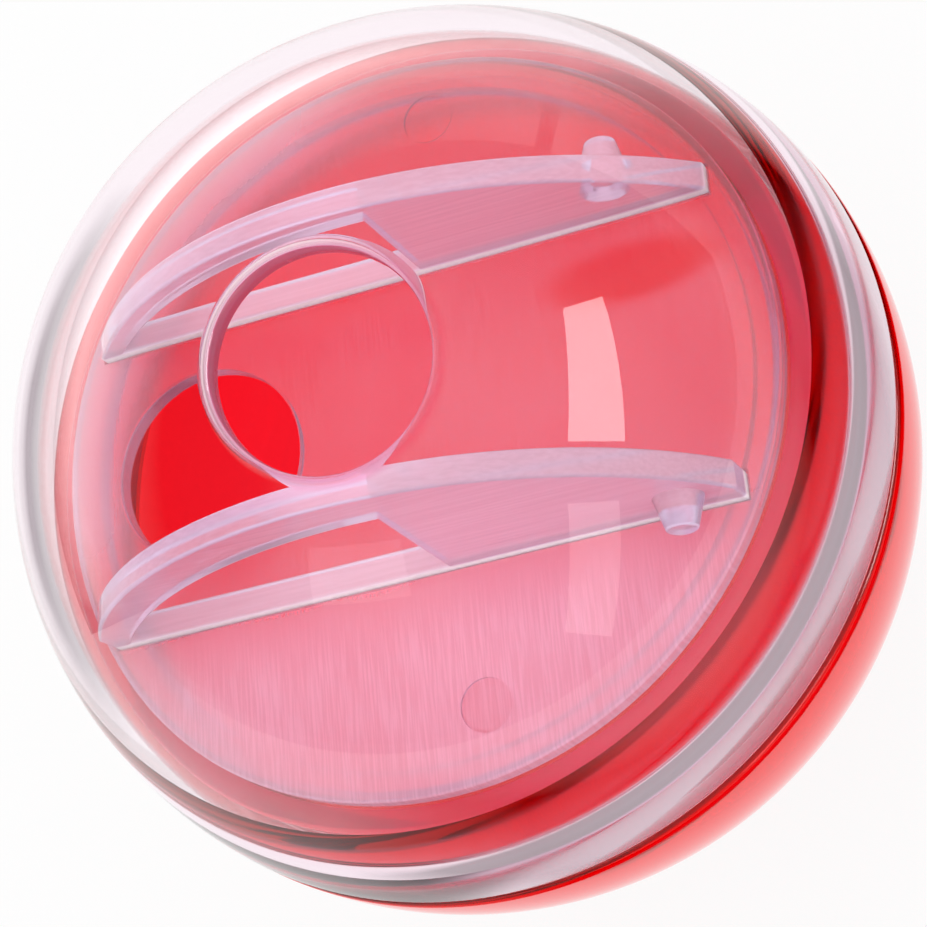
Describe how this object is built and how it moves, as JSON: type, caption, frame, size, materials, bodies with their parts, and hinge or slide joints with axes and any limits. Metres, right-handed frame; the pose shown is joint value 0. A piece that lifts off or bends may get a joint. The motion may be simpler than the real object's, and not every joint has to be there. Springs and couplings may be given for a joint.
{
  "type": "treat dispensing ball",
  "caption": "See-through pet toy ball: a clear half with a round exit hole over the collar of a red half, with a pierced disc and upright baffles inside that slow the treats.",
  "frame": {"origin": "centre of the ball", "axes": "+Z along the axis of the ball towards the clear pole, +X along the baffles, away from the hole in the disc, +Y towards the upper baffle"},
  "size_m": [0.07, 0.07, 0.0698],
  "materials": {
    "clear_plastic": "polished, see-through",
    "red_plastic": "polished, see-through",
    "frosted_plastic": "frosted, see-through",
    "baffle_plastic": "satin, see-through"
  },
  "bodies": {
    "base": {"red_shell": "red_plastic"},
    "insert": {"partition_disc": "frosted_plastic", "upper_baffle": "baffle_plastic", "lower_baffle": "baffle_plastic"},
    "cap": {"clear_shell": "clear_plastic"}
  },
  "joints": [
    {"name": "half_twist", "type": "hinge", "parent": "base", "child": "insert", "pos_m": [0, 0, 0], "axis": [0, 0, 1], "continuous": true},
    {"name": "cap_lift", "type": "slide", "parent": "insert", "child": "cap", "axis": [0, 0, 1], "range_m": [0, 0.045]}
  ]
}
